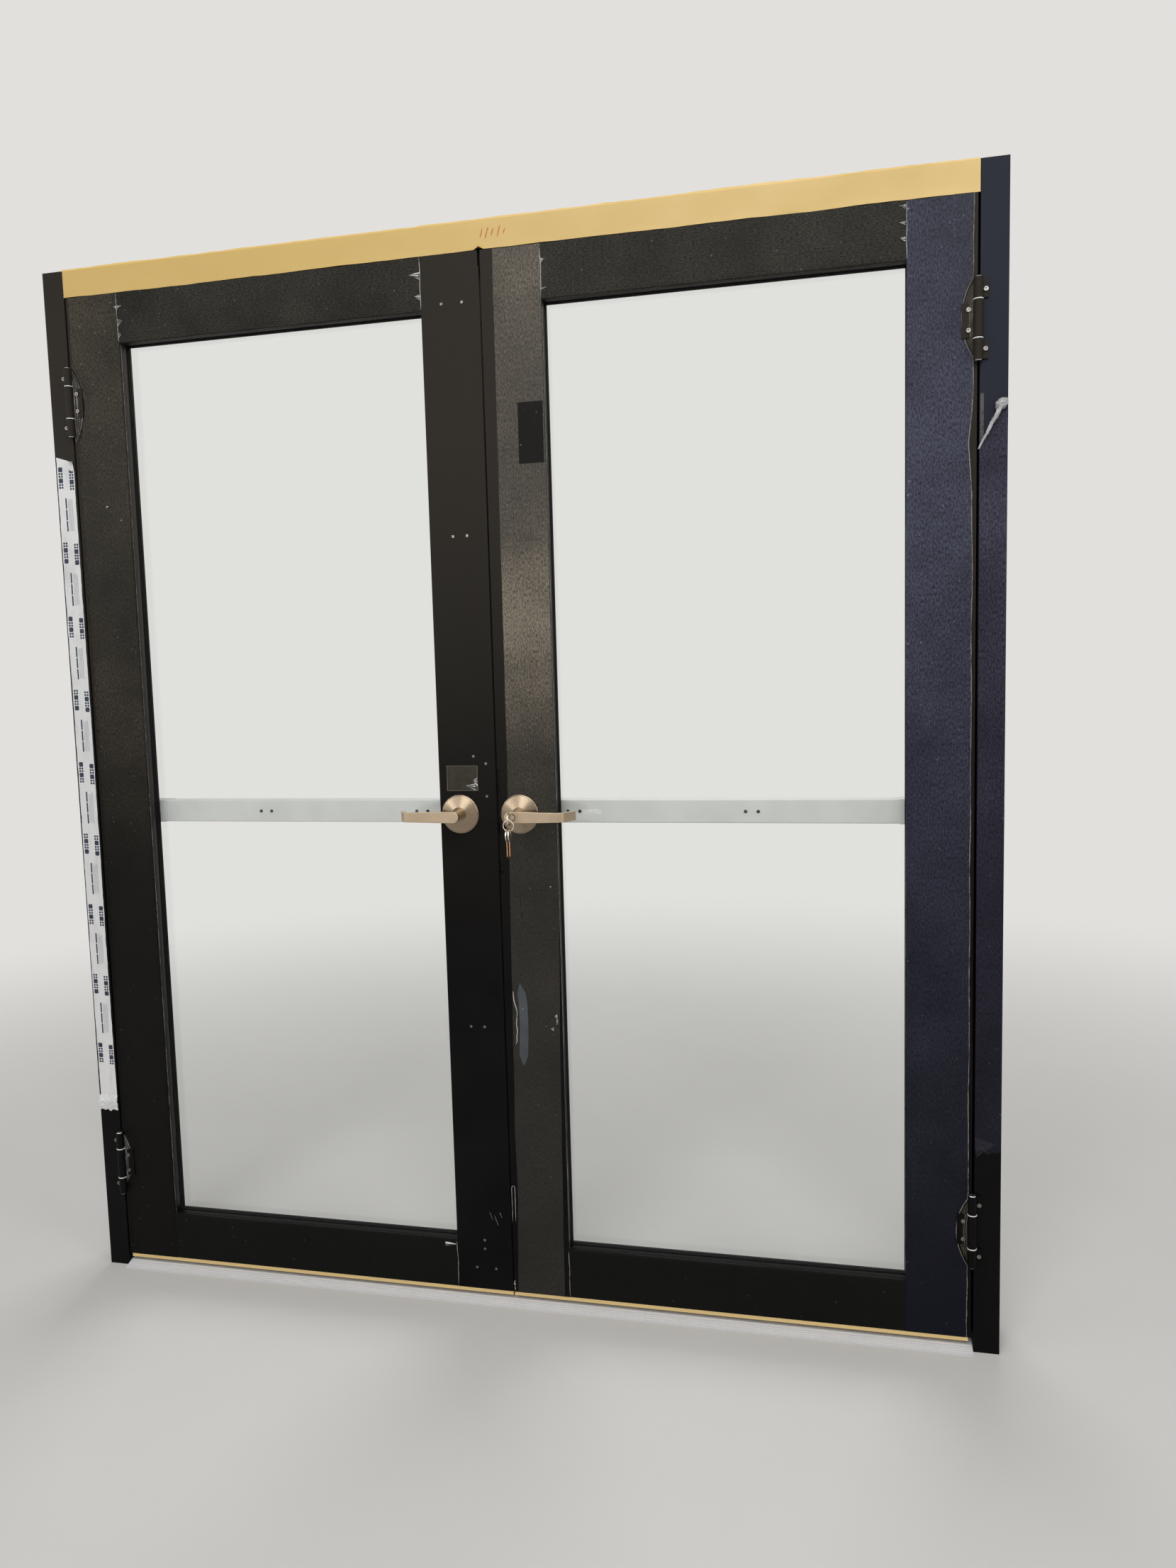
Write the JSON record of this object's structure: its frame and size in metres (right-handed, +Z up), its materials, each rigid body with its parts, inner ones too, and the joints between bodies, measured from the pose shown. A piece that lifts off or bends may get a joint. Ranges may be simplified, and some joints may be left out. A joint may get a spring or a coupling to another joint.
{
  "type": "glazed double door with frame",
  "caption": "Glazed aluminium double door in its frame, with levers on the pull side and push bars with vertical rods and a mortise latch on the other.",
  "frame": {"origin": "On the floor under the threshold, midway between the jambs and midway through the frame's depth.", "axes": "X across the doorway to the right as seen from the lever side, Y through it from the lever side to the push-bar side, Z up."},
  "size_m": [1.926, 0.2256, 2.182],
  "materials": {
    "dark_coat": "satin",
    "mill_aluminium": "satin",
    "cream_coat": "satin",
    "clear_glass": "gloss",
    "black_rubber": "matte",
    "satin_nickel": "satin",
    "pale_grey_coat": "satin",
    "stainless": "satin",
    "white_nylon": "matte",
    "key_brass": "satin"
  },
  "bodies": {
    "frame": {"left_jamb": "dark_coat", "right_jamb": "dark_coat", "header": "dark_coat", "threshold": "mill_aluminium", "left_stop": "dark_coat", "right_stop": "dark_coat", "header_stop": "dark_coat", "stop_seals": "black_rubber", "rod_strikes": "stainless", "hinge_frame_flaps": "dark_coat", "hinge_pins": "stainless", "hinge_washers": "white_nylon", "hinge_frame_screws": "stainless"},
    "left_leaf": {"left_hinge_stile": "dark_coat", "left_lock_stile": "dark_coat", "left_top_rail": "dark_coat", "left_bottom_rail": "dark_coat", "left_glass": "clear_glass", "left_glazing_gaskets": "black_rubber", "left_glazing_beads": "dark_coat", "left_bottom_channel": "cream_coat", "left_sweep": "black_rubber", "left_hinge_door_flaps": "dark_coat", "left_leaf_screws": "stainless", "left_bar_housing": "pale_grey_coat", "left_bar_end_cap": "pale_grey_coat", "left_head_case": "pale_grey_coat", "left_rose": "satin_nickel", "rod_guides": "pale_grey_coat", "top_latch_case": "pale_grey_coat", "bottom_latch_case": "pale_grey_coat", "edge_strike": "stainless"},
    "right_leaf": {"right_hinge_stile": "dark_coat", "right_lock_stile": "dark_coat", "right_top_rail": "dark_coat", "right_bottom_rail": "dark_coat", "right_glass": "clear_glass", "right_glazing_gaskets": "black_rubber", "right_glazing_beads": "dark_coat", "right_bottom_channel": "cream_coat", "right_sweep": "black_rubber", "right_hinge_door_flaps": "dark_coat", "right_leaf_screws": "stainless", "right_bar_housing": "pale_grey_coat", "right_bar_end_cap": "pale_grey_coat", "right_head_case": "pale_grey_coat", "right_rose": "satin_nickel", "mortise_lock": "stainless"},
    "left_pad": {"left_push_pad": "pale_grey_coat"},
    "right_pad": {"right_push_pad": "pale_grey_coat"},
    "upper_rod": {"upper_rod": "stainless"},
    "lower_rod": {"lower_rod": "stainless"},
    "latch": {"latch_bolt": "stainless"},
    "left_lever": {"left_lever": "satin_nickel"},
    "right_lever": {"right_lever": "satin_nickel"},
    "key": {"key_plug": "key_brass", "door_key": "key_brass"},
    "ring": {"key_ring": "stainless", "spare_keys": "key_brass"}
  },
  "joints": [
    {"name": "left_leaf_swing", "type": "hinge", "parent": "frame", "child": "left_leaf", "pos_m": [-0.911, -0.066, 1], "axis": [0, 0, -1], "range_deg": [0, 105]},
    {"name": "right_leaf_swing", "type": "hinge", "parent": "frame", "child": "right_leaf", "pos_m": [0.911, -0.066, 1], "axis": [0, 0, 1], "range_deg": [0, 105]},
    {"name": "left_pad_travel", "type": "slide", "parent": "left_leaf", "child": "left_pad", "axis": [0, 1, 0], "range_m": [0, 0.013]},
    {"name": "upper_rod_shoot", "type": "slide", "parent": "left_leaf", "child": "upper_rod", "axis": [0, 0, 1], "range_m": [0, 0.013]},
    {"name": "lower_rod_shoot", "type": "slide", "parent": "left_leaf", "child": "lower_rod", "axis": [0, 0, -1], "range_m": [0, 0.013]},
    {"name": "right_pad_travel", "type": "slide", "parent": "right_leaf", "child": "right_pad", "axis": [0, 1, 0], "range_m": [0, 0.013]},
    {"name": "latch_shoot", "type": "slide", "parent": "right_leaf", "child": "latch", "axis": [-1, 0, 0], "range_m": [0, 0.013]},
    {"name": "left_lever_turn", "type": "hinge", "parent": "left_leaf", "child": "left_lever", "pos_m": [-0.0786, -0.057, 1.037], "axis": [0, -1, 0], "range_deg": [0, 45], "stiffness_Nm_per_rad": 1.2, "springref_deg": -28.65},
    {"name": "right_lever_turn", "type": "hinge", "parent": "right_leaf", "child": "right_lever", "pos_m": [0.047, -0.057, 1.037], "axis": [0, 1, 0], "range_deg": [0, 45], "stiffness_Nm_per_rad": 1.2, "springref_deg": -28.65},
    {"name": "key_turn", "type": "hinge", "parent": "right_lever", "child": "key", "pos_m": [0.047, -0.117, 1.037], "axis": [0, 1, 0], "range_deg": [0, 90]},
    {"name": "key_ring_swing", "type": "hinge", "parent": "key", "child": "ring", "pos_m": [0.047, -0.1401, 1.0349], "axis": [1, 0, 0], "range_deg": [-60, 20]}
  ],
  "couplings": [
    {"joint": "upper_rod_shoot", "follows": "left_pad_travel", "ratio": 1},
    {"joint": "lower_rod_shoot", "follows": "left_pad_travel", "ratio": 1},
    {"joint": "latch_shoot", "follows": "right_pad_travel", "ratio": 1}
  ]
}
